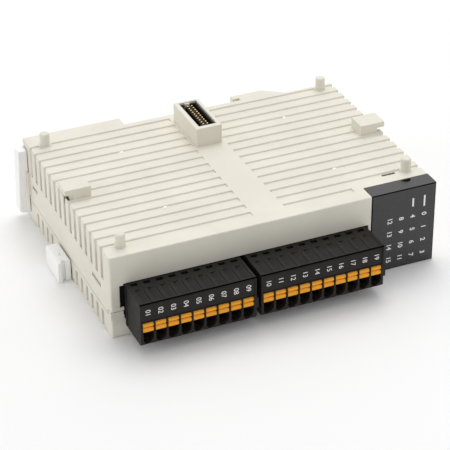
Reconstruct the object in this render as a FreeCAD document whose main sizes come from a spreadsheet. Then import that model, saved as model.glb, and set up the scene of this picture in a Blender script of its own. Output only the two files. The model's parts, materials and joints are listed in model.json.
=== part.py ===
import FreeCAD, Part
import math
import os
import re
import Sketcher

# A DIN-rail input/output module of a programmable controller, with two pluggable terminal blocks.
# The module lies on its right-hand side: X runs along its height, -Y is the wiring front,
# +Z is the ribbed side that mates with the next module. All sizes are millimetres.

os.makedirs("parts", exist_ok=True)
doc = FreeCAD.newDocument("io_module")
sheet = doc.addObject("Spreadsheet::Sheet", "Sizes")

SIZES = [
    # the case, measured from its left end, front face and resting side
    ("case_length", 95.0),
    ("case_depth", 65.0),
    ("case_height", 24.6),
    ("parting_height", 6.5),
    ("corner_parting", 7.8),
    ("seam_gap", 0.2),
    ("wall", 1.8),
    ("cavity_back", 63.4),
    ("corner_radius", 0.6),
    ("edge_radius", 0.3),
    # the back of the case, shaped for a 35 mm rail
    ("seat_depth", 66.0),
    ("foot_depth", 70.0),
    ("recess_left", 29.4),
    ("recess_right", 64.0),
    ("flange_slot_end", 66.0),
    ("lip_under", 67.2),
    ("lip_back", 69.2),
    ("lip_flat_end", 74.0),
    ("lip_ramp_end", 80.0),
    # cooling ribs
    ("groove_first", 5.6),
    ("groove_pitch", 4.1),
    ("groove_count", 15),
    ("groove_width", 1.8),
    ("groove_depth", 0.42),
    ("end_groove_depth", 0.6),
    ("groove_bevel", 0.1),
    ("band_left", 42.5),
    ("band_right", 51.8),
    ("short_groove_end", 72.4),
    ("end_groove_low", 15.4),
    ("vent_low", 15.7),
    ("vent_high", 20.6),
    ("vent_width", 1.5),
    ("low_vent_low", 2.0),
    ("low_groove_first", 6.5),
    ("low_groove_top", 5.2),
    ("low_front_count", 6),
    ("low_back_first", 47.5),
    ("low_back_count", 5),
    # snap windows in the end walls, and the tongues behind them
    ("snap_low", 11.75),
    ("snap_high", 12.9),
    ("snap_front_a", 7.0),
    ("snap_front_b", 13.6),
    ("snap_back_a", 58.9),
    ("snap_back_b", 63.1),
    ("tongue_thick", 1.1),
    # pegs that locate the next module, and their sockets
    ("peg_radius", 1.4),
    ("peg_height", 3.8),
    ("peg_rounding", 0.55),
    ("peg_foot_margin", 0.35),
    ("socket_width", 3.4),
    ("socket_depth", 4.3),
    ("socket_boss", 5.6),
    ("socket_boss_top", 5.2),
    # keepers for the next module's locks
    ("keeper_front", 31.7),
    ("keeper_back", 37.7),
    ("keeper_stem_start", 1.8),
    ("keeper_inner", 6.9),
    ("keeper_reach", 0.5),
    ("keeper_gap", 1.45),
    ("keeper_height", 3.0),
    # collar round the bus pins
    ("collar_left", 43.15),
    ("collar_right", 50.95),
    ("collar_front", 44.8),
    ("collar_back", 62.15),
    ("collar_wall", 1.1),
    ("collar_height", 5.6),
    ("key_left", 46.0),
    ("key_right", 47.85),
    ("key_slope", 0.35),
    ("key_front", 60.6),
    ("key_root", 61.5),
    ("bus_pitch", 1.27),
    ("bus_rows", 10),
    ("bus_pin", 0.42),
    ("bus_pin_top", 29.75),
    ("bus_centre_x", 47.15),
    ("bus_centre_y", 53.7),
    ("bus_box_width", 5.2),
    ("bus_box_length", 14.85),
    ("bus_box_wall", 0.5),
    ("bus_box_top", 29.6),
    ("bus_box_floor", 25.2),
    ("bus_tongue_width", 2.2),
    ("bus_tongue_length", 12.5),
    ("bus_tongue_top", 29.35),
    ("bus_plug_width", 3.9),
    ("bus_plug_length", 13.4),
    ("bus_plug_cavity", 2.4),
    ("bus_plug_ceiling", 4.9),
    # indicator window
    ("window_left", 75.4),
    ("window_depth", 5.1),
    ("window_thick", 1.2),
    ("window_gap", 0.15),
    ("notch_centre", 88.0),
    ("notch_radius", 1.35),
    ("notch_depth", 0.75),
    ("release_slot_left", 83.3),
    ("release_slot_right", 87.4),
    ("release_slot_front", 9.25),
    ("release_slot_back", 10.25),
    ("hook_low", 21.4),
    ("hook_top", 23.95),
    # front opening, terminal headers and pluggable terminal blocks
    ("opening_left", 3.7),
    ("opening_right", 74.5),
    ("opening_low", 5.2),
    ("opening_high", 16.1),
    ("ear_left", 2.6),
    ("ear_low", 9.0),
    ("ear_high", 15.6),
    ("header_low", 5.4),
    ("header_high", 15.9),
    ("header_wall", 1.0),
    ("header_back", 9.0),
    ("header_floor", 7.5),
    ("pitch", 3.5),
    ("plug_front", -11.05),
    ("plug_back", -0.15),
    ("plug_low", 3.4),
    ("plug_high", 16.0),
    ("left_plug_start", 3.95),
    ("left_plug_width", 32.45),
    ("left_poles", 9),
    ("right_plug_start", 37.8),
    ("right_plug_width", 35.8),
    ("right_poles", 10),
    ("tongue_inset", 1.15),
    ("tongue_low", 6.7),
    ("tongue_high", 14.6),
    ("tongue_back", 7.2),
    ("label_low", 10.4),
    ("label_high", 15.5),
    ("label_recess", 0.25),
    ("label_gap", 0.25),
    ("label_gap_depth", 0.7),
    ("button_low", 7.05),
    ("button_high", 9.95),
    ("button_crease", 8.55),
    ("button_width", 2.9),
    ("button_front", -10.95),
    ("button_back", -5.0),
    ("channel_width", 3.1),
    ("channel_low", 6.9),
    ("channel_high", 10.35),
    ("channel_back", -1.5),
    ("entry_low", 3.95),
    ("entry_width", 2.9),
    ("chamber_low", 4.4),
    ("chamber_front", -9.4),
    ("terminal_pin", 0.8),
    ("terminal_pin_height", 9.6),
    # circuit boards
    ("board_thick", 1.6),
    ("main_board_low", 7.3),
    ("analog_board_low", 17.0),
    ("board_left", 4.0),
    ("board_right", 91.0),
    ("board_front", 10.4),
    ("board_back", 62.4),
    # rail latch
    ("latch_tab_left", -3.4),
    ("latch_tab_top", 22.5),
    ("latch_low", 2.5),
    ("latch_high", 23.0),
    ("channel_floor", 2.3),
    ("channel_roof", 23.2),
    ("channel_depth", 66.3),
    ("stop_width", 1.2),
    ("stop_low", 8.6),
    ("stop_high", 15.7),
    ("bump_reach", 0.8),
    ("bump_front", 64.9),
    ("bump_back", 65.9),
    # lock sliders
    ("slider_reach", 4.0),
    ("slider_front", 30.6),
    ("slider_back", 41.0),
    ("slider_high", 6.35),
    # half the overall size, which sets the origin at the middle of the base
    ("middle_x", 47.5),
    ("middle_y", 29.475),
]
for row, (alias, size) in enumerate(SIZES, start=1):
    sheet.set(f"A{row}", alias)
    sheet.set(f"B{row}", str(size))
    sheet.setAlias(f"B{row}", alias)
doc.recompute()


def in_sheet(formula):
    """Point every size named in a formula at its spreadsheet cell."""
    return re.sub(r"(?!min\b)\b[a-z]\w+", lambda word: "Sizes." + word.group(), formula)


def number(formula):
    """The value of a formula of sizes."""
    return float(sheet.evalExpression(in_sheet(formula)))


def bind(item, prop, formula):
    item.setExpression(prop, in_sheet(formula))


def place(item, x="0", y="0"):
    """Move an item from case coordinates to the module's frame."""
    bind(item, "Placement.Base.x", f"{x} - middle_x")
    bind(item, "Placement.Base.y", f"{y} - middle_y")


def new_body(label, x="0", y="0"):
    body = doc.addObject("PartDesign::Body", label)
    body.Label = label
    place(body, x, y)
    return body


def origin_part(body, role):
    return next(item for item in body.Origin.OriginFeatures if item.Role == role)


def outline(body, plane, level, corners):
    """A fully dimensioned closed outline, its corners given as pairs of formulas."""
    sketch = body.newObject("Sketcher::SketchObject", body.Label + "_sketch")
    sketch.AttachmentSupport = [(origin_part(body, plane + "_Plane"), "")]
    sketch.MapMode = "FlatFace"
    bind(sketch, "AttachmentOffset.Base.z", level)
    points = [FreeCAD.Vector(number(across), number(along), 0) for across, along in corners]
    count = len(points)
    for index in range(count):
        sketch.addGeometry(Part.LineSegment(points[index], points[(index + 1) % count]))
    for index in range(count):
        sketch.addConstraint(Sketcher.Constraint("Coincident", index, 2, (index + 1) % count, 1))
    for index, (across, along) in enumerate(corners):
        for kind, formula, start in (("DistanceX", across, points[index].x),
                                     ("DistanceY", along, points[index].y)):
            made = sketch.addConstraint(Sketcher.Constraint(kind, -1, 1, index, 1, start))
            sketch.setExpression(f"Constraints[{made}]", in_sheet(formula))
    return sketch


def rectangle(left, low, right, high):
    return [(left, low), (right, low), (right, high), (left, high)]


def prism(body, plane, corners, low, high, cut=False):
    """Add or cut a straight prism between two levels along its plane's axis."""
    backward = plane == "XZ"
    start = high if cut != backward else low
    level = f"-({start})" if backward else start
    sketch = outline(body, plane, level, corners)
    feature = body.newObject("PartDesign::" + ("Pocket" if cut else "Pad"), body.Label + "_prism")
    feature.Profile = sketch
    feature.Type = 0
    feature.Refine = False
    bind(feature, "Length", f"({high}) - ({low})")
    body.Tip = feature
    return feature


def block(body, x, y, z, cut=False):
    """Add or cut a box given by its spans along X, Y and Z."""
    return prism(body, "XY", rectangle(x[0], y[0], x[1], y[1]), z[0], z[1], cut)


def repeat(body, feature, axis, pitch, count):
    """Repeat a feature along an axis of its body, at an even pitch."""
    pattern = body.newObject("PartDesign::LinearPattern", body.Label + "_pattern")
    pattern.Originals = [feature]
    pattern.Refine = False
    pattern.Direction = (origin_part(body, axis + "_Axis"), [""])
    bind(pattern, "Length", f"({pitch}) * ({count} - 1)")
    bind(pattern, "Occurrences", count)
    body.Tip = pattern
    return pattern


def round_edges(body, radius, wanted):
    """Fillet the edges of the body so far that the test picks."""
    doc.recompute()
    base = body.Tip
    names = [f"Edge{index}" for index, edge in enumerate(base.Shape.Edges, start=1) if wanted(edge)]
    fillet = body.newObject("PartDesign::Fillet", body.Label + "_fillet")
    fillet.Base = (base, names)
    bind(fillet, "Radius", radius)
    body.Tip = fillet
    return fillet


def upright(edge):
    ends = edge.Vertexes
    return len(ends) == 2 and abs(ends[0].Z - ends[1].Z) > 1.0


def along_x(edge):
    ends = edge.Vertexes
    return len(ends) == 2 and abs(ends[0].X - ends[1].X) > 15.0


def group(label, solids):
    """Identical pieces of one kind, kept as separate solids in one sub-part."""
    feature = doc.addObject("Part::Feature", label)
    feature.Label = label
    feature.Shape = Part.makeCompound(solids)
    place(feature)
    return feature


def box(x, y, z):
    """A plain solid box from its spans."""
    corner = FreeCAD.Vector(x[0], y[0], z[0])
    return Part.makeBox(x[1] - x[0], y[1] - y[0], z[1] - z[0], corner)


def at_end(side, formula):
    """A place measured inward from the left or the right end of the case."""
    return formula if side == "left" else f"case_length - ({formula})"


def end_span(side, outer, inner):
    """A span along X, given from an end of the case, lower value first."""
    span = (at_end(side, outer), at_end(side, inner))
    return span if side == "left" else (span[1], span[0])


# --- case shells -----------------------------------------------------------------------------------

PEGS = [("5.07", "4.81"), ("90.5", "9.44"), ("4.64", "63.68"), ("90.4", "62.8")]
CASE_OUTLINE = [
    ("0", "0"),
    ("case_length", "0"),
    ("case_length", "case_depth"),
    ("lip_ramp_end", "case_depth"),
    ("lip_flat_end", "lip_back"),
    ("recess_right", "lip_back"),
    ("recess_right", "lip_under"),
    ("flange_slot_end", "lip_under"),
    ("flange_slot_end", "seat_depth"),
    ("recess_left", "seat_depth"),
    ("recess_left", "foot_depth"),
    ("0", "foot_depth"),
]


def groove_section(centre, face, inward, depth="groove_depth"):
    """A groove's section with bevelled lips: centre across, face level, way in and depth."""
    half = "groove_width / 2"
    bevel = "groove_bevel"
    deep = f"{face} {inward} {depth}"
    lip = f"{face} {inward} {bevel}"
    outside = f"{face} {'+' if inward == '-' else '-'} 1"
    return [
        (f"{centre} - {half} - {bevel}", outside),
        (f"{centre} - {half} - {bevel}", face),
        (f"{centre} - {half}", lip),
        (f"{centre} - {half} + {bevel}", deep),
        (f"{centre} + {half} - {bevel}", deep),
        (f"{centre} + {half}", lip),
        (f"{centre} + {half} + {bevel}", face),
        (f"{centre} + {half} + {bevel}", outside),
    ]


def swap(corners):
    return [(second, first) for first, second in corners]


def rib_side(body, face, inward, front_right_start):
    """Cut the ribbed side's grooves, in a left and a right set with a plain band between them."""
    first = groove_section("groove_first", face, inward)
    second = groove_section("groove_first + groove_pitch", face, inward)
    left = prism(body, "YZ", first, "-1", "band_left", cut=True)
    repeat(body, left, "Y", "groove_pitch", "groove_count")
    prism(body, "YZ", first, "band_right", front_right_start, cut=True)
    right = prism(body, "YZ", second, "band_right", "case_length + 1", cut=True)
    repeat(body, right, "Y", "groove_pitch", "groove_count - 1")


def end_grooves(body, side, first, count, low, high):
    """Grooves that run up an end wall."""
    face = at_end(side, "0")
    inward = "+" if side == "left" else "-"
    cut = prism(body, "XY", swap(groove_section(first, face, inward, "end_groove_depth")), low, high,
                cut=True)
    repeat(body, cut, "Y", "groove_pitch", count)


def make_upper_shell():
    body = new_body("upper_shell")
    prism(body, "XY", CASE_OUTLINE, "parting_height + seam_gap", "case_height")
    round_edges(body, "corner_radius", lambda edge: upright(edge) and edge.Vertexes[0].Y < 1)
    round_edges(body, "edge_radius", lambda edge: edge.BoundBox.ZMin > number("case_height") - 0.01)
    inside_x = ("wall", "case_length - wall")
    block(body, inside_x, ("wall", "cavity_back"), ("0", "case_height - wall"), cut=True)
    # collar for the bus pins, with its polarising key
    block(body, ("collar_left", "collar_right"), ("collar_front", "collar_back"),
          ("case_height - wall", "case_height + collar_height"))
    round_edges(body, "edge_radius", lambda edge: edge.BoundBox.ZMax > number("case_height + 1"))
    block(body, ("bus_centre_x - bus_box_width / 2 - 0.1", "bus_centre_x + bus_box_width / 2 + 0.1"),
          ("bus_centre_y - bus_box_length / 2 - 0.1", "bus_centre_y + bus_box_length / 2 + 0.1"),
          ("case_height - wall - 1", "case_height + collar_height + 1"), cut=True)
    key = [
        ("key_left", "key_root"),
        ("key_left + key_slope", "key_front"),
        ("key_right - key_slope", "key_front"),
        ("key_right", "key_root"),
    ]
    prism(body, "XY", key, "case_height + 1", "case_height + collar_height - 0.3")
    # channel of the rail latch: open at the back, with a roof, an end stop and a retaining lip
    block(body, ("-1", "recess_left + 1"), ("channel_depth", "foot_depth + 1"), ("0", "channel_roof"),
          cut=True)
    block(body, ("0", "stop_width"), ("channel_depth - 0.5", "68"),
          ("parting_height + seam_gap", "channel_roof + 0.5"))
    block(body, ("0", "stop_width"), ("67.5", "foot_depth"), ("stop_low", "stop_high"))
    block(body, ("-bump_reach", "0.5"), ("bump_front", "bump_back"), ("stop_low", "stop_high"))
    block(body, ("8", "recess_left"), ("foot_depth - 0.8", "foot_depth"),
          ("channel_roof - 1.4", "channel_roof + 0.5"))
    # front opening for the terminal headers, and the raised corner of the lower shell
    opening_z = ("0", "opening_high")
    block(body, ("opening_left", "opening_right"), ("-1", "wall + 1"), opening_z, cut=True)
    block(body, ("ear_left", "opening_left + 0.5"), ("-1", "wall + 1"), ("ear_low", "ear_high"), cut=True)
    block(body, ("-1", "opening_left + 0.5"), ("-1", "wall + 0.5"), ("0", "corner_parting + seam_gap"),
          cut=True)
    # seat and light opening of the indicator window, and the slot behind it
    seat_x = ("window_left - window_gap", "case_length + 1")
    block(body, seat_x, ("-1", "window_thick + window_gap"), ("0", "case_height + 1"), cut=True)
    block(body, seat_x, ("-1", "window_depth + window_gap"),
          ("case_height - window_thick - window_gap", "case_height + 1"), cut=True)
    block(body, ("window_left + 1.5", "case_length - wall"), ("0", "wall + 1"),
          ("0", "case_height - wall"), cut=True)
    block(body, ("release_slot_left", "release_slot_right"), ("release_slot_front", "release_slot_back"),
          ("case_height - wall - 1", "case_height + 1"), cut=True)
    # snap windows and the vents that open into the case
    for side, skip in (("left", "0"), ("right", "1")):
        first = f"groove_first + {skip} * groove_pitch"
        vent_x = end_span(side, "-1", "wall + 1")
        vent_y = (f"{first} - vent_width / 2", f"{first} + vent_width / 2")
        for edge in ("front", "back"):
            block(body, vent_x, (f"snap_{edge}_a", f"snap_{edge}_b"), ("snap_low", "snap_high"), cut=True)
        vent = block(body, vent_x, vent_y, ("vent_low", "vent_high"), cut=True)
        repeat(body, vent, "Y", "groove_pitch", f"groove_count - 1 - {skip}")
    # slot through the wall under the left keeper's lip
    keeper_y = ("keeper_front", "keeper_back")
    block(body, ("0.3", "keeper_stem_start"), keeper_y, ("case_height - wall - 1", "case_height + 1"),
          cut=True)
    # cooling grooves, carried down both ends
    rib_side(body, "case_height", "-", "short_groove_end")
    for side, skip in (("left", "0"), ("right", "1")):
        end_grooves(body, side, f"groove_first + {skip} * groove_pitch", f"groove_count - {skip}",
                    "end_groove_low", "case_height + 1")
    # keepers that the next module's locks hook on
    for side in ("left", "right"):
        block(body, end_span(side, "keeper_stem_start", "keeper_inner"), keeper_y,
              ("case_height - 1", "case_height + keeper_height"))
        block(body, end_span(side, "-keeper_reach", "keeper_inner - 0.1"), keeper_y,
              ("case_height + keeper_gap", "case_height + keeper_height"))
    return with_pegs(body)


def with_pegs(shell):
    """Fuse the round-tipped locating pegs onto the ribbed side, each on a foot flush with the ribs."""
    shell.Label = "upper_shell_moulding"
    pieces = [shell]
    for peg_x, peg_y in PEGS:
        stem = doc.addObject("Part::Cylinder", "peg_stem")
        bind(stem, "Radius", "peg_radius")
        bind(stem, "Height", "peg_height + 1")
        foot = doc.addObject("Part::Cylinder", "peg_foot")
        bind(foot, "Radius", "peg_radius + peg_foot_margin")
        bind(foot, "Height", "1")
        for piece in (stem, foot):
            place(piece, peg_x, peg_y)
            bind(piece, "Placement.Base.z", "case_height - 1")
        doc.recompute([stem])
        top = next(index for index, edge in enumerate(stem.Shape.Edges, start=1)
                   if edge.BoundBox.ZMin > number("case_height + 1"))
        rounded = doc.addObject("Part::Fillet", "peg_rounded")
        rounded.Base = stem
        rounded.Edges = [(top, number("peg_rounding"), number("peg_rounding"))]
        peg = doc.addObject("Part::MultiFuse", "peg")
        peg.Shapes = [rounded, foot]
        peg.Refine = True
        pieces.append(peg)
    fused = doc.addObject("Part::MultiFuse", "upper_shell_with_pegs")
    fused.Shapes = pieces
    fused.Refine = False
    fused.Label = "upper_shell"
    return fused


def make_lower_shell():
    body = new_body("lower_shell")
    prism(body, "XY", CASE_OUTLINE, "0", "parting_height")
    round_edges(body, "corner_radius", lambda edge: upright(edge) and edge.Vertexes[0].Y < 1)
    round_edges(body, "edge_radius", lambda edge: edge.BoundBox.ZMax < 0.01)
    block(body, ("wall", "case_length - wall"), ("wall", "cavity_back"), ("wall", "parting_height + 1"),
          cut=True)
    block(body, ("0", "opening_left - 0.2"), ("0", "wall"), ("parting_height - 1", "corner_parting"))
    # cup that the next module's collar enters
    block(body, ("collar_left - 1.35", "collar_right + 1.35"), ("collar_front - 1.5", "collar_back + 1.05"),
          ("1", "7.2"))
    # guides round the lock sliders, board posts and sockets for the next module's pegs
    for side in ("left", "right"):
        block(body, end_span(side, "wall", "11"), ("slider_front - 0.9", "slider_back + 1"), ("1", "7.2"))
        for post_y in ("14", "57"):
            block(body, end_span(side, "7", "10"), (f"{post_y} - 1.5", f"{post_y} + 1.5"),
                  ("1", "main_board_low"))
    for peg_x, peg_y in PEGS:
        block(body, (f"{peg_x} - socket_boss / 2", f"{peg_x} + socket_boss / 2"),
              (f"{peg_y} - socket_boss / 2", f"min({peg_y} + socket_boss / 2; case_depth)"),
              ("1", "socket_boss_top"))
    for peg_x, peg_y in PEGS:
        block(body, (f"{peg_x} - socket_width / 2", f"{peg_x} + socket_width / 2"),
              (f"{peg_y} - socket_width / 2", f"min({peg_y} + socket_width / 2; case_depth - 0.3)"),
              ("-1", "socket_depth"), cut=True)
    # cup for the next module's collar, and the way through its ceiling for the bus socket
    block(body, ("collar_left - 0.35", "collar_right + 0.35"),
          ("collar_front - 0.35", "collar_back + 0.35"),
          ("-1", "6"), cut=True)
    through_x, through_y = bus_span("bus_plug_width + 0.3", "bus_plug_length + 0.3")
    block(body, through_x, through_y, ("5", "8"), cut=True)
    for side in ("left", "right"):
        # pocket for the next module's keeper, and the lock slider's way in
        block(body, end_span(side, "-1", "7.4"), ("keeper_front - 0.4", "keeper_back + 0.4"), ("-1", "3.4"),
              cut=True)
        block(body, end_span(side, "-1", "9.6"), ("slider_back - 2.6", "slider_back - 0.4"), ("1.7", "5.1"),
              cut=True)
        # tongues that snap into the upper shell's windows
        for edge in ("front", "back"):
            tongue_y = (f"snap_{edge}_a + 0.4", f"snap_{edge}_b - 0.4")
            block(body, end_span(side, "wall - 0.8", "wall + 0.15 + tongue_thick"), tongue_y, ("1", "5"))
            block(body, end_span(side, "wall + 0.15", "wall + 0.15 + tongue_thick"), tongue_y,
                  ("4", "snap_high + 1"))
            block(body, end_span(side, "wall - 0.6", "wall + 0.5"), tongue_y,
                  ("snap_low + 0.1", "snap_high - 0.15"))
    # channel of the rail latch
    block(body, ("-1", "recess_left + 1"), ("channel_depth", "foot_depth + 1"), ("channel_floor", "8"),
          cut=True)
    block(body, ("0", "stop_width"), ("channel_depth - 0.5", "68"),
          ("channel_floor - 0.5", "parting_height"))
    block(body, ("8", "recess_left"), ("foot_depth - 0.8", "foot_depth"),
          ("channel_floor - 0.5", "channel_floor + 1.4"))
    # front opening and the seat of the indicator window
    block(body, ("opening_left", "opening_right"), ("-1", "wall + 1"), ("opening_low", "8"), cut=True)
    block(body, ("window_left - window_gap", "case_length + 1"), ("-1", "window_thick + window_gap"),
          ("-1", "8"), cut=True)
    block(body, ("window_left + 1.5", "case_length - wall"), ("0", "wall + 1"), ("wall", "8"), cut=True)
    # grooves on the resting side and on both ends
    rib_side(body, "0", "+", "case_length + 1")
    for side in ("left", "right"):
        for first, count in (("low_groove_first", "low_front_count"),
                             ("low_back_first", "low_back_count - 1")):
            vent = block(body, end_span(side, "-1", "wall + 0.5"),
                         (f"{first} - vent_width / 2", f"{first} + vent_width / 2"),
                         ("low_vent_low", "low_groove_top - 0.3"), cut=True)
            repeat(body, vent, "Y", "groove_pitch", count)
            end_grooves(body, side, first, count, "-1", "low_groove_top")
    return body


# --- indicator window and the electronics ----------------------------------------------------------


def make_led_window():
    body = new_body("led_window")
    profile = [
        ("0", "0"),
        ("window_thick", "0"),
        ("window_thick", "case_height - window_thick"),
        ("window_depth", "case_height - window_thick"),
        ("window_depth", "case_height"),
        ("0", "case_height"),
    ]
    prism(body, "YZ", profile, "window_left", "case_length")
    round_edges(body, "edge_radius", lambda edge: along_x_front(edge) or front_corner(edge))
    # hook that reaches under the shell's wall and up into its release slot
    hook_x = ("release_slot_left + 0.3", "release_slot_right - 0.3")
    block(body, hook_x, ("window_thick - 0.5", "release_slot_back - 0.15"), ("hook_low", "hook_low + 1.1"))
    block(body, hook_x, ("release_slot_front + 0.2", "release_slot_back - 0.15"), ("hook_low", "hook_top"))
    # half-round pocket for a prying tool
    steps = 6
    arc = []
    for step in range(steps + 1):
        angle = math.pi * step / steps
        arc.append((f"notch_centre - notch_radius * {math.cos(angle):.4f}",
                    f"window_depth - 0.35 - notch_radius * {math.sin(angle):.4f}"))
    prism(body, "XY", arc, "case_height - notch_depth", "case_height + 1", cut=True)
    return body


def along_x_front(edge):
    return along_x(edge) and edge.Vertexes[0].Y < 0.01


def front_corner(edge):
    return upright(edge) and edge.Vertexes[0].Y < 0.01 and edge.Length > 20


LED_COLUMNS = 4
LED_ROWS = 4
LED_RIGHT = 91.5
LED_COLUMN_PITCH = 3.5
LED_LOWEST = 3.2
LED_ROW_PITCH = 4.13


def make_led_board():
    body = new_body("led_board")
    block(body, ("window_left + 1.9", "case_length - wall - 0.4"), ("4.2", "5.4"),
          ("2.2", "hook_low - 0.4"))
    return body


def make_indicator_leds():
    lights = []
    for column in range(LED_COLUMNS):
        rows = LED_ROWS + 1 if column < 2 else LED_ROWS
        for row in range(rows):
            x = LED_RIGHT - LED_COLUMN_PITCH * column
            z = LED_LOWEST + LED_ROW_PITCH * row
            lights.append(box((x - 0.8, x + 0.8), (3.3, 4.2), (z - 0.4, z + 0.4)))
    return group("indicator_leds", lights)


def make_board(label, low, stop="board_back"):
    body = new_body(label)
    top = f"{low} + board_thick"
    block(body, ("board_left", "board_right"), ("board_front", stop), (low, top))
    return body


def bus_span(width, length):
    """Spans along X and Y of a box centred on the bus connector."""
    return ((f"bus_centre_x - ({width}) / 2", f"bus_centre_x + ({width}) / 2"),
            (f"bus_centre_y - ({length}) / 2", f"bus_centre_y + ({length}) / 2"))


def make_bus_header():
    body = new_body("bus_header_insulator")
    wide, long = bus_span("bus_box_width", "bus_box_length")
    block(body, wide, long, ("analog_board_low + board_thick", "bus_box_top"))
    inner_wide, inner_long = bus_span("bus_box_width - 2 * bus_box_wall",
                                      "bus_box_length - 2 * bus_box_wall")
    block(body, inner_wide, inner_long, ("bus_box_floor", "bus_box_top + 1"), cut=True)
    tongue_wide, tongue_long = bus_span("bus_tongue_width", "bus_tongue_length")
    block(body, tongue_wide, tongue_long, ("bus_box_floor - 1", "bus_tongue_top"))
    # gap in the end wall for the collar's key
    block(body, ("key_left - 0.15", "key_right + 0.15"), (inner_long[1] + " - 0.2", long[1] + " + 1"),
          ("bus_box_floor", "bus_box_top + 1"), cut=True)
    bus_holes(body, "analog_board_low", "bus_pin_top + 1")
    return body


def bus_holes(body, low, high):
    """Two rows of square holes at the bus pitch."""
    first_y = "bus_centre_y - bus_pitch * (bus_rows - 1) / 2"
    for direction in ("-", "+"):
        centre_x = f"bus_centre_x {direction} bus_pitch / 2"
        hole = block(body, (f"{centre_x} - bus_pin / 2", f"{centre_x} + bus_pin / 2"),
                     (f"{first_y} - bus_pin / 2", f"{first_y} + bus_pin / 2"), (low, high), cut=True)
        repeat(body, hole, "Y", "bus_pitch", "bus_rows")


def bus_rods(label, low, high):
    """Two rows of square contacts, each a hair smaller than its hole."""
    half = number("bus_pin / 2 - 0.01")
    rods = []
    for direction in (-0.5, 0.5):
        x = number(f"bus_centre_x + {direction} * bus_pitch")
        for row in range(int(number("bus_rows"))):
            y = number(f"bus_centre_y + ({row} - (bus_rows - 1) / 2) * bus_pitch")
            rods.append(box((x - half, x + half), (y - half, y + half), (number(low), number(high))))
    return group(label, rods)


def make_bus_socket():
    """A sleeve for the neighbour's tongue, with holes in its ceiling for the contacts."""
    body = new_body("bus_socket_body")
    wide, long = bus_span("bus_plug_width", "bus_plug_length")
    block(body, wide, long, ("0.5", "main_board_low"))
    cavity_wide, cavity_long = bus_span("bus_plug_cavity", "bus_tongue_length + 0.3")
    block(body, cavity_wide, cavity_long, ("0", "bus_plug_ceiling"), cut=True)
    bus_holes(body, "0", "main_board_low + 1")
    return body


def make_components():
    main_top = number("main_board_low + board_thick")
    analog_top = number("analog_board_low + board_thick")
    analog_low = number("analog_board_low")
    group("main_board_chips", [
        box((20, 30), (26, 36), (main_top, main_top + 1.4)),
        box((58, 65), (40, 45), (main_top, main_top + 1.6)),
        box((68, 75), (30, 34), (main_top, main_top + 1.6)),
        box((34, 39), (18, 22), (main_top, main_top + 1.2)),
    ])
    group("analog_board_chips", [
        box((22, 29), (22, 29), (analog_top, analog_top + 1.2)),
        box((33, 38), (40, 44), (analog_top, analog_top + 1.5)),
        box((60, 65), (24, 28), (analog_top, analog_top + 1.5)),
        box((70, 75), (42, 46), (analog_top, analog_top + 1.5)),
    ])
    group("board_capacitors", [
        Part.makeCylinder(2.5, 5.8, FreeCAD.Vector(x, y, main_top))
        for x, y in ((16, 48), (22, 48), (28, 48), (80, 26))
    ])
    group("isolation_transformer", [box((78, 87), (36, 45), (main_top, main_top + 6.2))])
    group("stacking_connector", [box((60, 82), (54, 58.5), (main_top, analog_low))])
    group("board_spacers", [
        Part.makeCylinder(2.0, analog_low - main_top, FreeCAD.Vector(x, y, main_top))
        for x, y in ((8.5, 15), (86.5, 15), (8.5, 56), (88, 56))
    ])


# --- terminal headers and pluggable terminal blocks ------------------------------------------------


def pole(side, index="0"):
    """The X of a pole of a terminal block, counted from its left."""
    return f"({side}_plug_start + ({side}_plug_width - ({side}_poles - 1) * pitch) / 2 + {index} * pitch)"


def make_terminal_header(side):
    body = new_body(f"terminal_header_{side}")
    start, width = f"{side}_plug_start", f"{side}_plug_width"
    tongue_x = (f"{start} + tongue_inset", f"{start} + {width} - tongue_inset")
    outer_x = (f"{tongue_x[0]} - 0.3 - header_wall", f"{tongue_x[1]} + 0.3 + header_wall")
    block(body, outer_x, ("0.15", "header_back"), ("header_low", "header_high"))
    if side == "left":
        block(body, ("ear_left + 0.1", f"{outer_x[0]} + 0.5"), ("0.15", "3"),
              ("ear_low + 0.1", "ear_high - 0.1"))
    block(body, (f"{tongue_x[0]} - 0.3", f"{tongue_x[1]} + 0.3"), ("0", "header_floor"),
          ("tongue_low - 0.3", "tongue_high + 0.3"), cut=True)
    half = "(terminal_pin / 2 + 0.02)"
    hole = block(body, (f"{pole(side)} - {half}", f"{pole(side)} + {half}"),
                 ("header_floor - 1", "header_back + 1"),
                 (f"terminal_pin_height - {half}", f"terminal_pin_height + {half}"), cut=True)
    repeat(body, hole, "X", "pitch", f"{side}_poles")
    return body


def make_header_pins(side):
    """Right-angled pins: one leg reaches into the plug, the other stands on the main board."""
    width = number("terminal_pin")
    height = number("terminal_pin_height")
    board_top = number("main_board_low + board_thick")
    pins = []
    for index in range(int(number(f"{side}_poles"))):
        x = number(pole(side, str(index)))
        level = box((x - width / 2, x + width / 2), (1.2, 12.2), (height - width / 2, height + width / 2))
        foot = box((x - width / 2, x + width / 2), (11.4, 12.2), (board_top, height))
        pins.append(level.fuse(foot).removeSplitter())
    return group(f"header_pins_{side}", pins)


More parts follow.
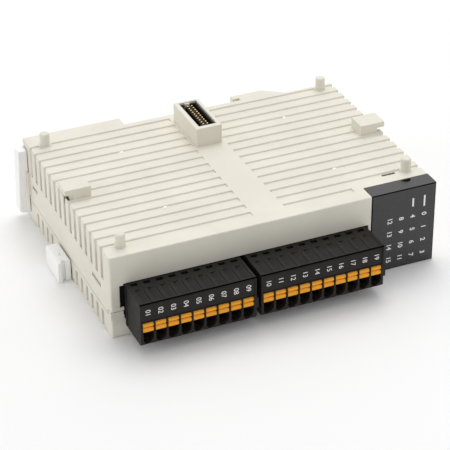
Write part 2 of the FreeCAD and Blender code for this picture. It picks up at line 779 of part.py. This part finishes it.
def make_plug_housing(side):
    body = new_body(f"plug_housing_{side}")
    start, width = f"{side}_plug_start", f"{side}_plug_width"
    span = (start, f"{start} + {width}")
    profile = [
        ("plug_front", "plug_low + 0.5"),
        ("plug_front + 0.5", "plug_low"),
        ("plug_back", "plug_low"),
        ("plug_back", "plug_high"),
        ("plug_front + 0.3", "plug_high"),
        ("plug_front", "plug_high - 0.3"),
    ]
    prism(body, "YZ", profile, span[0], span[1])
    block(body, (f"{span[0]} + tongue_inset", f"{span[1]} - tongue_inset"),
          ("plug_back - 1", "tongue_back"),
          ("tongue_low", "tongue_high"))
    block(body, (f"{span[1]} - 1", f"{span[1]} + 0.6"), ("plug_front", "plug_front + 4"), ("6.5", "9.5"))
    # seam step near the back of the left side, and the recessed marking band
    block(body, (f"{span[0]} - 1", f"{span[0]} + 0.3"), ("plug_back - 1.6", "plug_back - 1.1"), ("0", "20"),
          cut=True)
    block(body, (f"{span[0]} + 0.35", f"{span[1]} - 0.35"), ("plug_front - 1", "plug_front + label_recess"),
          ("label_low", "label_high"), cut=True)
    block(body, (f"{span[0]} + 0.35", f"{span[1]} - 0.35"),
          ("plug_front - 1", "plug_front + label_gap_depth"),
          ("label_high - label_gap", "label_high"), cut=True)
    # per pole: button channel, wire entry, clamp chamber, pin passage, finger groove and test hole
    centre = pole(side)

    def per_pole(half, y, z):
        cut = block(body, (f"{centre} - {half}", f"{centre} + {half}"), y, z, cut=True)
        repeat(body, cut, "X", "pitch", f"{side}_poles")

    per_pole("channel_width / 2", ("plug_front - 1", "channel_back"), ("channel_low", "channel_high"))
    entry = [
        (f"{centre} - entry_width / 2", "channel_low + 0.1"),
        (f"{centre} - entry_width / 2", "entry_low + 0.8"),
        (f"{centre} - entry_width / 2 + 0.5", "entry_low"),
        (f"{centre} + entry_width / 2 - 1.5", "entry_low"),
        (f"{centre} + entry_width / 2 - 0.4", "entry_low + 0.7"),
        (f"{centre} + entry_width / 2", "entry_low + 1.7"),
        (f"{centre} + entry_width / 2", "channel_low + 0.1"),
    ]
    cut = prism(body, "XZ", entry, "plug_front - 1", "chamber_front + 0.5", cut=True)
    repeat(body, cut, "X", "pitch", f"{side}_poles")
    per_pole("1.35", ("chamber_front", "channel_back"), ("chamber_low", "channel_high"))
    per_pole("1.15", ("channel_back - 0.5", "tongue_back + 1"), ("8.2", "11"))
    ramp = [
        (f"{centre} - 0.9", "plug_high + 1"),
        (f"{centre} - 0.9", "plug_high - 0.4"),
        (f"{centre} + 0.7", "plug_high - 0.05"),
        (f"{centre} + 0.7", "plug_high + 1"),
    ]
    cut = prism(body, "XZ", ramp, "plug_front + 0.7", "plug_front + 7", cut=True)
    repeat(body, cut, "X", "pitch", f"{side}_poles")
    slit = (f"{centre} + 1.25", f"{centre} + 1.4")
    cut = block(body, slit, ("plug_front + 0.7", "plug_front + 6.4"), ("plug_high - 0.35", "plug_high + 1"),
                cut=True)
    repeat(body, cut, "X", "pitch", f"{side}_poles")
    per_pole("0.95", ("plug_back - 1.85", "plug_back - 0.6"), ("plug_high - 2.4", "plug_high + 1"))
    return body


def strip_solids(side, profile, width):
    """One bent strip per pole: a side profile extruded across the pole."""
    strips = []
    for index in range(int(number(f"{side}_poles"))):
        x = number(pole(side, str(index))) - width / 2
        corners = [FreeCAD.Vector(x, y, z) for y, z in profile]
        face = Part.Face(Part.makePolygon(corners + corners[:1]))
        strips.append(face.extrude(FreeCAD.Vector(width, 0, 0)))
    return strips


CONTACT_PROFILE = [
    (-2.2, 4.6), (-1.8, 4.6), (-1.8, 8.45), (6.4, 8.45), (6.4, 8.75), (-1.1, 8.75),
    (-1.1, 10.3), (6.4, 10.3), (6.4, 10.6), (-1.4, 10.6), (-1.4, 8.75), (-2.2, 8.75),
]
SPRING_PROFILE = [
    (-3.2, 9.6), (-3.2, 6.65), (-7.4, 5.05), (-7.4, 4.75), (-2.9, 6.4), (-2.9, 9.6),
]


def make_button(side, index):
    """One release button, made about its own pole and placed along the block."""
    body = new_body(f"button_{side}_{index + 1:02d}", pole(side, str(index)))
    profile = [
        ("button_front + 0.45", "button_low"),
        ("button_front + 0.1", "button_low + 0.3"),
        ("button_front", "button_low + 0.7"),
        ("button_front + 0.05", "button_crease - 0.35"),
        ("button_front + 0.3", "button_crease - 0.1"),
        ("button_front + 0.75", "button_crease"),
        ("button_front + 0.3", "button_crease + 0.15"),
        ("button_front", "button_crease + 0.45"),
        ("button_front + 0.05", "button_high - 0.45"),
        ("button_front + 0.3", "button_high - 0.1"),
        ("button_front + 0.7", "button_high"),
        ("button_back", "button_high"),
        ("button_back", "button_low"),
    ]
    prism(body, "YZ", profile, "-button_width / 2", "button_width / 2")
    return body


# --- rail latch and lock sliders -------------------------------------------------------------------


def make_latch():
    body = new_body("rail_latch")
    span_z = ("latch_low", "latch_high")
    block(body, ("4.6", "recess_left - 0.2"), ("channel_depth + 0.2", "foot_depth - 1"), span_z)
    block(body, ("8.4", "recess_left - 0.2"), ("foot_depth - 1.5", "foot_depth - 0.2"),
          ("latch_low + 1.4", "latch_high - 1.4"))
    for neck in (("latch_low", "8.3"), ("16", "latch_high")):
        block(body, ("-0.5", "5"), ("68.2", "foot_depth - 1"), neck)
    tab = [
        ("-0.2", "latch_low"),
        ("latch_tab_left + 0.9", "latch_low"),
        ("latch_tab_left", "latch_low + 0.9"),
        ("latch_tab_left + 0.7", "latch_tab_top"),
        ("-0.2", "latch_tab_top"),
    ]
    prism(body, "XZ", tab, "seat_depth + 0.1", "foot_depth")
    round_edges(body, "edge_radius", lambda edge: edge.BoundBox.XMax < -2 and edge.Length > 18)
    nose = [
        ("recess_left - 1", "lip_under + 0.1"),
        ("recess_left + 1.5", "lip_under + 0.1"),
        ("recess_left + 1.5", "lip_under + 0.7"),
        ("recess_left + 0.3", "foot_depth - 0.6"),
        ("recess_left - 1", "foot_depth - 0.6"),
    ]
    prism(body, "XY", nose, "6", "18.4")
    return body


def make_lock_slider(side):
    body = new_body(f"lock_slider_{side}")
    profile = [
        ("-0.3", "0"),
        ("-slider_reach", "0"),
        ("-slider_reach", "slider_high - 0.35"),
        ("0.35 - slider_reach", "slider_high"),
        ("-0.3", "slider_high"),
    ]
    dimple = [("-2.6", "34.3"), ("-1.4", "34"), ("-1.8", "35.9")]
    if side == "right":
        profile = [(at_end(side, x), z) for x, z in profile]
        dimple = [(at_end(side, x), y) for x, y in dimple]
    prism(body, "XZ", profile, "slider_front", "slider_back")
    round_edges(body, "edge_radius", lambda edge: edge.BoundBox.ZMin > number("slider_high - 0.4"))
    prism(body, "XY", dimple, "slider_high - 0.25", "slider_high + 1", cut=True)
    # finger groove up the front, a lower shoulder beside it, and the recess that clears the keeper
    block(body, end_span(side, "-2.9", "-1.8"), ("slider_front - 1", "slider_front + 1.1"), ("-1", "9"),
          cut=True)
    block(body, end_span(side, "-1.9", "0"), ("slider_front - 1", "slider_front + 0.4"), ("-1", "9"),
          cut=True)
    block(body, end_span(side, "-1", "0"), ("keeper_front - 0.3", "keeper_back + 0.3"), ("1.35", "3.3"),
          cut=True)
    # blade that hooks under the keeper, and the stem that guides the slider
    block(body, end_span(side, "-1", "1"), ("keeper_front + 0.2", "keeper_back - 0.2"), ("0.25", "1.25"))
    block(body, end_span(side, "-0.6", "9.2"), ("slider_back - 2.45", "slider_back - 0.55"), ("1.9", "4.9"))
    return body


# --- the whole module ------------------------------------------------------------------------------

make_upper_shell()
make_lower_shell()
make_led_window()
make_led_board()
make_indicator_leds()
make_board("main_board", "main_board_low")
make_board("analog_board", "analog_board_low")
make_components()
make_bus_header()
bus_rods("bus_header_pins", "analog_board_low + board_thick", "bus_pin_top")
make_bus_socket()
bus_rods("bus_socket_contacts", "bus_pin_top - case_height + 0.05", "main_board_low")
for block_side in ("left", "right"):
    make_terminal_header(block_side)
    make_header_pins(block_side)
    make_plug_housing(block_side)
    group(f"plug_contacts_{block_side}", strip_solids(block_side, CONTACT_PROFILE, 1.8))
    group(f"clamp_springs_{block_side}", strip_solids(block_side, SPRING_PROFILE, 1.8))
    for button_index in range(int(number(f"{block_side}_poles"))):
        make_button(block_side, button_index)
make_latch()
for lock_side in ("left", "right"):
    make_lock_slider(lock_side)
doc.recompute()


def check(item):
    """Stop on a failed feature, an empty or broken shape, or a cut that removed nothing."""
    if "Invalid" in item.State or "Error" in item.State:
        raise RuntimeError(f"{item.Label}: {item.State}")
    if item.isDerivedFrom("PartDesign::Pocket") and item.BaseFeature:
        if item.Shape.Volume > item.BaseFeature.Shape.Volume - 1e-6:
            raise RuntimeError(f"{item.Label}: {item.Name} removes nothing")


for item in doc.Objects:
    check(item)
SUBPART_TYPES = ("PartDesign::Body", "Part::Feature", "Part::MultiFuse")
for item in doc.Objects:
    if item.TypeId in SUBPART_TYPES and not any(user.TypeId == "Part::MultiFuse" for user in item.InList):
        if item.Shape.isNull() or not item.Shape.isValid():
            raise RuntimeError(f"{item.Label}: bad shape")
        item.Shape.exportStep(f"parts/{item.Label}.step")
        print(f"{item.Label}: {len(item.Shape.Solids)} solids, {item.Shape.Volume:.1f} mm3")
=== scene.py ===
import json
import math
import bpy
from mathutils import Matrix, Vector


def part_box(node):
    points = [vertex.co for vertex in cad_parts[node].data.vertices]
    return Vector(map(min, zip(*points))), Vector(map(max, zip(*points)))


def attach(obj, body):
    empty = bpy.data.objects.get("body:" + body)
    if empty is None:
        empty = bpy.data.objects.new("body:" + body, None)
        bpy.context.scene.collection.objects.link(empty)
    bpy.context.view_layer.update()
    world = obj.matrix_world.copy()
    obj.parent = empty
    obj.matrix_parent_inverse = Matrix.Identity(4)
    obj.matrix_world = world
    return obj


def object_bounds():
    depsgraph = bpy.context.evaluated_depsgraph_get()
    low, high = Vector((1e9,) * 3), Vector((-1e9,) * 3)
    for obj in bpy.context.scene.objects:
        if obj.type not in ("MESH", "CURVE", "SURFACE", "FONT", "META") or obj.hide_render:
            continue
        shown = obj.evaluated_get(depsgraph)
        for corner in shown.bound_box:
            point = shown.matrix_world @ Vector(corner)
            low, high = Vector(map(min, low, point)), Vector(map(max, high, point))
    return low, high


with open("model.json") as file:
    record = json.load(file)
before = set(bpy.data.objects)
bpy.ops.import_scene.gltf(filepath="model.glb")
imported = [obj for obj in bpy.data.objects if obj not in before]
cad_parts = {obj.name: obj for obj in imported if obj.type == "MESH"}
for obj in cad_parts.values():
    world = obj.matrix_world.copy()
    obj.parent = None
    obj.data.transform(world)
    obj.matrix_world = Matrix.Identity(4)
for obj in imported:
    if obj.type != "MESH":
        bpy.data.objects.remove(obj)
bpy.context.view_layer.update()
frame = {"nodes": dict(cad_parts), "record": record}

MM = 0.001
NODES = frame["nodes"]
scene = bpy.context.scene


# --- materials ---------------------------------------------------------------------------------------


class Graph:
    """A material's node tree, with short calls for the nodes that the materials here share."""

    def __init__(self, name):
        self.material = bpy.data.materials.new(name)
        self.material.use_nodes = True
        self.tree = self.material.node_tree
        self.shader = self.tree.nodes["Principled BSDF"]
        coordinates = self.tree.nodes.new("ShaderNodeTexCoord")
        self.place = coordinates.outputs["Object"]

    def node(self, kind, **settings):
        """Add a node and set its plain settings."""
        made = self.tree.nodes.new(kind)
        for key, value in settings.items():
            setattr(made, key, value)
        return made

    def link(self, source, target):
        """Join an output to an input."""
        self.tree.links.new(source, target)

    def noise(self, scale, detail=3.0, roughness=0.5, place=None):
        """Noise whose scale is in cycles per metre."""
        made = self.node("ShaderNodeTexNoise")
        made.inputs["Scale"].default_value = scale
        made.inputs["Detail"].default_value = detail
        made.inputs["Roughness"].default_value = roughness
        self.link(place or self.place, made.inputs["Vector"])
        return made.outputs["Fac"]

    def spread(self, source, low, high, to_low, to_high):
        """Map a value from one range to another, clamped."""
        made = self.node("ShaderNodeMapRange")
        made.inputs["From Min"].default_value = low
        made.inputs["From Max"].default_value = high
        made.inputs["To Min"].default_value = to_low
        made.inputs["To Max"].default_value = to_high
        self.link(source, made.inputs["Value"])
        return made.outputs["Result"]

    def mix(self, factor, first, second):
        """Blend two colours, or a colour and the result of an earlier blend."""
        made = self.node("ShaderNodeMix", data_type="RGBA")
        self.link(factor, made.inputs[0])
        for value, socket in ((first, made.inputs[6]), (second, made.inputs[7])):
            if isinstance(value, tuple):
                socket.default_value = (*value, 1.0)
            else:
                self.link(value, socket)
        return made.outputs[2]

    def bump(self, height, distance, strength, normal=None):
        """A normal tilted by a height, over a smooth or softened one."""
        made = self.node("ShaderNodeBump")
        made.inputs["Distance"].default_value = distance
        made.inputs["Strength"].default_value = strength
        self.link(height, made.inputs["Height"])
        if normal is not None:
            self.link(normal, made.inputs["Normal"])
        return made.outputs["Normal"]

    def bevel(self, radius):
        """The normal of a softened edge."""
        made = self.node("ShaderNodeBevel", samples=6)
        made.inputs["Radius"].default_value = radius
        return made.outputs["Normal"]

    def edge_mask(self, bevelled):
        """Near one along edges, and nought on flats."""
        geometry = self.node("ShaderNodeNewGeometry")
        product = self.node("ShaderNodeVectorMath", operation="DOT_PRODUCT")
        self.link(bevelled, product.inputs[0])
        self.link(geometry.outputs["Normal"], product.inputs[1])
        return self.spread(product.outputs["Value"], 0.85, 0.998, 1.0, 0.0)

    def painted_shade_corner_mask(self):
        """Near one on a rounded corner between the front and the top, or the front and a side: the mask
        that places painted shade there.
        """
        geometry = self.node("ShaderNodeNewGeometry")
        parts = self.node("ShaderNodeSeparateXYZ")
        self.link(geometry.outputs["Normal"], parts.inputs[0])
        products = []
        for axis in ("X", "Z"):
            product = self.node("ShaderNodeMath", operation="MULTIPLY")
            self.link(parts.outputs["Y"], product.inputs[0])
            self.link(parts.outputs[axis], product.inputs[1])
            size = self.node("ShaderNodeMath", operation="ABSOLUTE")
            self.link(product.outputs[0], size.inputs[0])
            products.append(size.outputs[0])
        larger = self.node("ShaderNodeMath", operation="MAXIMUM")
        self.link(products[0], larger.inputs[0])
        self.link(products[1], larger.inputs[1])
        return self.spread(larger.outputs[0], 0.08, 0.3, 0.0, 1.0)


def scaled(colour, factor):
    """A colour made lighter or darker, without passing white."""
    return tuple(min(1.0, channel * factor) for channel in colour)


GRAIN_DEPTH = 0.012 * MM


def moulded(name, colour, roughness, grain=2600, strength=0.5, edge=0.00007,
            edge_shift=1.12, variation=0.04, specular=0.5, painted_corner_shade=False):
    """Moulded plastic: a spark-eroded grain, faint flow marks, edges rubbed a little lighter, and where
    asked, painted shade on the rounded front corners with their specular reflection turned off.
    """
    graph = Graph(name)
    softened = graph.bevel(edge)
    grain_height = graph.noise(grain, 2.0, 0.6)
    graph.link(graph.bump(grain_height, GRAIN_DEPTH, strength, softened), graph.shader.inputs["Normal"])
    flow = graph.spread(graph.noise(55, 4.0, 0.6), 0.35, 0.65, 0.0, 1.0)
    body = graph.mix(flow, scaled(colour, 1 - variation), scaled(colour, 1 + variation))
    rubbed = graph.edge_mask(softened)
    faded = graph.node("ShaderNodeMath", operation="MULTIPLY")
    graph.link(rubbed, faded.inputs[0])
    graph.link(graph.spread(graph.noise(700, 3.0), 0.35, 0.7, 0.15, 0.8), faded.inputs[1])
    finish = graph.mix(faded.outputs[0], body, scaled(colour, edge_shift))
    if painted_corner_shade:
        # Painted shade: the rounded corners between the front and the top or the sides are mixed nearly to
        # black, and their specular reflection is taken away.
        corner = graph.painted_shade_corner_mask()
        finish = graph.mix(corner, finish, scaled(colour, 0.1))
        graph.link(graph.spread(corner, 0.0, 1.0, specular, 0.0), graph.shader.inputs["Specular IOR Level"])
    graph.link(finish, graph.shader.inputs["Base Color"])
    gloss = graph.spread(graph.noise(240, 4.0, 0.65), 0.3, 0.7, roughness - 0.06, roughness + 0.07)
    graph.link(gloss, graph.shader.inputs["Roughness"])
    if not painted_corner_shade:
        graph.shader.inputs["Specular IOR Level"].default_value = specular
    return graph.material


def metal(name, colour, roughness):
    """Plated or bright metal, with fine drawing marks."""
    graph = Graph(name)
    stretched = graph.node("ShaderNodeMapping")
    stretched.inputs["Scale"].default_value = (1.0, 1.0, 0.08)
    graph.link(graph.place, stretched.inputs["Vector"])
    marks = graph.noise(9000, 2.0, 0.5, stretched.outputs["Vector"])
    graph.link(graph.bump(marks, 0.000004, 0.4, graph.bevel(0.00006)), graph.shader.inputs["Normal"])
    tint = graph.spread(graph.noise(900, 3.0), 0.3, 0.7, 0.0, 1.0)
    finish = graph.mix(tint, scaled(colour, 0.86), scaled(colour, 1.08))
    graph.link(finish, graph.shader.inputs["Base Color"])
    gloss = graph.spread(marks, 0.3, 0.7, roughness - 0.06, roughness + 0.1)
    graph.link(gloss, graph.shader.inputs["Roughness"])
    graph.shader.inputs["Metallic"].default_value = 1.0
    return graph.material


def board(name):
    """Solder mask over faint copper tracks: a board's own dark green, made darker still as painted shade
    for the dark seen through the vent slots.
    """
    graph = Graph(name)
    tracks = graph.node("ShaderNodeTexBrick")
    tracks.inputs["Scale"].default_value = 300
    tracks.inputs["Mortar Size"].default_value = 0.06
    # Painted shade: the mask, the tracks and their edges are set darker than the board's own green, so the
    # board reads as black through the vent slots.
    tracks.inputs["Color1"].default_value = (0.006, 0.045, 0.018, 1)
    tracks.inputs["Color2"].default_value = (0.008, 0.058, 0.023, 1)
    tracks.inputs["Mortar"].default_value = (0.015, 0.10, 0.04, 1)
    graph.link(graph.place, tracks.inputs["Vector"])
    graph.link(tracks.outputs["Color"], graph.shader.inputs["Base Color"])
    graph.link(graph.bump(tracks.outputs["Fac"], 0.00003, 0.4), graph.shader.inputs["Normal"])
    graph.link(graph.spread(graph.noise(500), 0.3, 0.7, 0.28, 0.42), graph.shader.inputs["Roughness"])
    return graph.material


def ink(name, colour):
    """Pad-printed ink, slightly uneven."""
    graph = Graph(name)
    patches = graph.spread(graph.noise(3500, 3.0, 0.7), 0.3, 0.7, 0.0, 1.0)
    graph.link(graph.mix(patches, scaled(colour, 0.88), colour), graph.shader.inputs["Base Color"])
    graph.link(graph.spread(graph.noise(2500), 0.3, 0.7, 0.45, 0.62), graph.shader.inputs["Roughness"])
    return graph.material


case_plastic = moulded("case_plastic", (0.765, 0.736, 0.640), 0.50, grain=2400, strength=0.45,
                       edge_shift=1.08)
# The window and the plug housings carry painted shade on their rounded front corners.
window_plastic = moulded("window_plastic", (0.036, 0.036, 0.038), 0.28, grain=3200, strength=0.25,
                         edge_shift=0.8, specular=0.42, painted_corner_shade=True)
connector_plastic = moulded("connector_plastic", (0.019, 0.0165, 0.0145), 0.56, grain=2800, strength=0.5,
                            edge_shift=2.4, specular=0.2, painted_corner_shade=True)
header_plastic = moulded("header_plastic", (0.005, 0.005, 0.005), 0.6, grain=2800, strength=0.5,
                         edge_shift=1.5, specular=0.1)
button_plastic = moulded("button_plastic", (0.90, 0.39, 0.022), 0.42, grain=3500, strength=0.3,
                         edge_shift=1.15, specular=0.3)
white_plastic = moulded("white_plastic", (0.955, 0.953, 0.945), 0.40, grain=3000, strength=0.3,
                        edge_shift=1.05, variation=0.02)
gate_plastic = moulded("gate_plastic", (0.97, 0.97, 0.96), 0.4, grain=3000, strength=0.2, edge=0.00004,
                       edge_shift=1.03, variation=0.02)
component_body = moulded("component_body", (0.02, 0.02, 0.022), 0.5, edge_shift=2.0)
led_lens = moulded("led_lens", (0.55, 0.70, 0.50), 0.22, strength=0.1)
gold_plate = metal("gold_plate", (0.93, 0.68, 0.28), 0.24)
tin_plate = metal("tin_plate", (0.72, 0.72, 0.70), 0.30)
spring_steel = metal("spring_steel", (0.58, 0.58, 0.60), 0.28)
capacitor_can = metal("capacitor_can", (0.74, 0.74, 0.76), 0.3)
circuit_board = board("circuit_board")
white_ink = ink("white_ink", (0.92, 0.92, 0.90))

FINISH = {
    "case_plastic": case_plastic,
    "window_plastic": window_plastic,
    "circuit_board": circuit_board,
    "led_lens": led_lens,
    "component_body": component_body,
    "capacitor_can": capacitor_can,
    "connector_plastic": connector_plastic,
    "white_plastic": white_plastic,
    "gold_contact": gold_plate,
    "tinned_contact": tin_plate,
    "spring_steel": spring_steel,
    "release_button": button_plastic,
}
for part in frame["record"]["subparts"]:
    item = NODES[part["node"]]
    item.data.materials.clear()
    item.data.materials.append(FINISH[part["material_slot"]])
for side in ("left", "right"):
    NODES[f"terminal_header_{side}"].data.materials[0] = header_plastic


# --- printed numbers ---------------------------------------------------------------------------------

# Print on the front faces reads downward: it runs along -Z, and the tops of the figures point to +X.
READS_DOWN = Matrix(((0, 1, 0), (0, 0, -1), (-1, 0, 0))).to_4x4()


INK_HALF = 0.02 * MM
CAP_HEIGHT = 0.70
FIGURE_HEIGHT = 1.4 * MM
CHANNEL_WEIGHT = 0.04 * MM


def printed(text, height, centre, weight=0.0):
    """The faces of a short number, printed on a surface that faces -Y, with its centre given."""
    curve = bpy.data.curves.new("print", "FONT")
    curve.body = text
    curve.size = height / CAP_HEIGHT
    curve.align_x = "CENTER"
    curve.align_y = "CENTER"
    curve.extrude = INK_HALF
    curve.offset = weight
    curve.space_character = 0.98
    holder = bpy.data.objects.new("print", curve)
    mesh = bpy.data.meshes.new_from_object(holder)
    bpy.data.objects.remove(holder)
    mesh.transform(Matrix.Translation(centre) @ READS_DOWN)
    return mesh


def joined(name, meshes, material, body):
    """Join meshes into one piece that rides on a body."""
    vertices = []
    faces = []
    for mesh in meshes:
        start = len(vertices)
        vertices += [tuple(vertex.co) for vertex in mesh.vertices]
        faces += [tuple(start + index for index in polygon.vertices) for polygon in mesh.polygons]
    data = bpy.data.meshes.new(name)
    data.from_pydata(vertices, [], faces)
    data.materials.append(material)
    piece = bpy.data.objects.new(name, data)
    scene.collection.objects.link(piece)
    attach(piece, body)
    return piece


LABEL_RECESS = 0.25 * MM
LABEL_Z = 13.0 * MM
POLES = {"left": 9, "right": 10}


def pole_numbers():
    """Running pole numbers above the release buttons of both terminal blocks."""
    first = 1
    for side, count in POLES.items():
        housing_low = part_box(f"plug_housing_{side}")[0]
        marks = []
        for index in range(count):
            low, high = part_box(f"button_{side}_{index + 1:02d}")
            centre = Vector(((low.x + high.x) / 2, housing_low.y + LABEL_RECESS, LABEL_Z))
            marks.append(printed(f"{first + index:02d}", FIGURE_HEIGHT, centre))
        joined(f"pole_numbers_{side}", marks, white_ink, f"plug_{side}")
        first += count


LED_HALF = Vector((0.8, 0.0, 0.4)) * MM
LED_COLUMN_PITCH = 3.5 * MM
LED_ROW_PITCH = 4.13 * MM


def channel_numbers():
    """Channel numbers on the indicator window, one at each indicator."""
    low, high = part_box("indicator_leds")
    face_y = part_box("led_window")[0].y
    marks = []
    for column in range(4):
        for row in range(4):
            x = high.x - LED_HALF.x - column * LED_COLUMN_PITCH
            z = low.z + LED_HALF.z + (3 - row) * LED_ROW_PITCH
            centre = Vector((x, face_y, z))
            marks.append(printed(str(4 * column + row), FIGURE_HEIGHT, centre, CHANNEL_WEIGHT))
    joined("channel_numbers", marks, white_ink, "module")


# Millimetres in the case's own coordinates: a bar's place in X and its ends in Z, a gate mark's place in X
# and Y, and a gate mark's outline as radius and rise above the groove floor.
MODE_BARS = ((91.5, 18.0, 21.4), (88.0, 18.6, 21.2))
BAR_WIDTH = 0.5 * MM
GATE_MARKS = ((22.8, 50.7), (22.8, 17.9), (73.0, 50.7), (73.0, 17.9))
GATE_PROFILE = ((0.70, -0.02), (0.68, 0.15), (0.52, 0.45), (0.24, 0.65))
GATE_SIDES = 16
GROOVE_FLOOR = 24.18
CASE_MIDDLE = Vector((47.5, 29.475, 0.0)) * MM


def in_frame(x, y, z):
    """A place given from the case's left end, front face and resting side, moved to the module's frame."""
    return Vector((x, y, z)) * MM - CASE_MIDDLE


BOX_FACES = [(0, 1, 3, 2), (4, 6, 7, 5), (0, 4, 5, 1), (2, 3, 7, 6), (0, 2, 6, 4), (1, 5, 7, 3)]


def mode_bars():
    """A plain bar of print over each of the two right-hand columns of channel numbers."""
    face_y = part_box("led_window")[0].y
    bars = []
    for x, low, high in MODE_BARS:
        centre = in_frame(x, 0, (low + high) / 2)
        centre.y = face_y
        half = Vector((BAR_WIDTH / 2, INK_HALF, (high - low) / 2 * MM))
        corners = [centre + Vector((i * half.x, j * half.y, k * half.z))
                   for i in (-1, 1) for j in (-1, 1) for k in (-1, 1)]
        mesh = bpy.data.meshes.new("bar")
        mesh.from_pydata(corners, [], BOX_FACES)
        bars.append(mesh)
    joined("mode_bars", bars, white_ink, "module")


def gate_marks():
    """Small white plugs of plastic standing on the groove floors, where the moulding was gated."""
    marks = []
    rings = len(GATE_PROFILE)
    for x, y in GATE_MARKS:
        points = []
        for radius, rise in GATE_PROFILE:
            for step in range(GATE_SIDES):
                angle = 2 * math.pi * step / GATE_SIDES
                points.append(in_frame(x + radius * math.cos(angle), y + radius * math.sin(angle),
                                       GROOVE_FLOOR + rise))
        faces = []
        for ring in range(rings - 1):
            for step in range(GATE_SIDES):
                here = ring * GATE_SIDES + step
                beside = ring * GATE_SIDES + (step + 1) % GATE_SIDES
                faces.append((here, beside, beside + GATE_SIDES, here + GATE_SIDES))
        faces.append(tuple(reversed(range(GATE_SIDES))))
        faces.append(tuple(range((rings - 1) * GATE_SIDES, rings * GATE_SIDES)))
        mesh = bpy.data.meshes.new("mark")
        mesh.from_pydata(points, [], faces)
        marks.append(mesh)
    joined("gate_marks", marks, gate_plastic, "module")


pole_numbers()
channel_numbers()
mode_bars()
gate_marks()


# --- floor, light and camera -------------------------------------------------------------------------


FLOOR_HALF = 3.0
FLOOR_GAP = 0.05 * MM


def make_floor():
    """A plain pale floor, a hair below the module so that the two faces don't meet."""
    size = FLOOR_HALF
    corners = [(-size, -size, 0), (size, -size, 0), (size, size, 0), (-size, size, 0)]
    data = bpy.data.meshes.new("floor")
    data.from_pydata(corners, [], [(0, 1, 2, 3)])
    graph = Graph("floor_paint")
    tone = graph.spread(graph.noise(3, 2.0), 0.3, 0.7, 0.0, 1.0)
    graph.link(graph.mix(tone, (0.93, 0.93, 0.93), (0.95, 0.95, 0.95)), graph.shader.inputs["Base Color"])
    graph.shader.inputs["Roughness"].default_value = 0.9
    data.materials.append(graph.material)
    floor = bpy.data.objects.new("floor", data)
    scene.collection.objects.link(floor)
    floor.location.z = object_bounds()[0][2] - FLOOR_GAP


def area_light(name, place, size, power):
    """A square light at a place, aimed at the module."""
    data = bpy.data.lights.new(name, "AREA")
    data.size = size
    data.energy = power
    light = bpy.data.objects.new(name, data)
    scene.collection.objects.link(light)
    light.location = place
    light.rotation_euler = (-Vector(place)).to_track_quat("-Z", "Y").to_euler()


# name, place in metres, side in metres, power in watts
LIGHTS = (
    ("key", (0.15, 0.25, 0.85), 0.6, 3.4),
    ("left_side", (-0.85, 0.05, 0.30), 0.5, 1.3),
    ("front_right", (0.26, -0.20, 0.14), 0.12, 0.085),
    ("sheen", (0.45, 0.95, 0.62), 0.8, 1.4),
)


def make_lights():
    """Soft studio light: a bright surround, a key from behind, and fills for the end and the window."""
    world = bpy.data.worlds.new("studio")
    world.use_nodes = True
    world.node_tree.nodes["Background"].inputs["Color"].default_value = (1.0, 1.0, 1.0, 1.0)
    world.node_tree.nodes["Background"].inputs["Strength"].default_value = 0.60
    scene.world = world
    for name, place, size, power in LIGHTS:
        area_light(name, place, size, power)


CAMERA_PLACE = Vector((-174.92, -402.35, 274.92)) * MM
CAMERA_AZIMUTH = math.radians(-23.195)
CAMERA_ELEVATION = math.radians(31.467)
CAMERA_ROLL = math.radians(-0.517)
CAMERA_LENS = 146.7


def make_camera():
    """The camera, above the wiring front and to the left of the module."""
    data = bpy.data.cameras.new("camera")
    data.lens = CAMERA_LENS
    data.sensor_width = 36.0
    data.clip_start = 0.01
    camera = bpy.data.objects.new("camera", data)
    scene.collection.objects.link(camera)
    turn = Matrix.Rotation(CAMERA_AZIMUTH, 4, "Z")
    tilt = Matrix.Rotation(math.pi / 2 - CAMERA_ELEVATION, 4, "X")
    roll = Matrix.Rotation(CAMERA_ROLL, 4, "Z")
    camera.matrix_world = Matrix.Translation(CAMERA_PLACE) @ turn @ tilt @ roll
    scene.camera = camera


make_floor()
make_lights()
make_camera()
scene.view_settings.view_transform = "Standard"
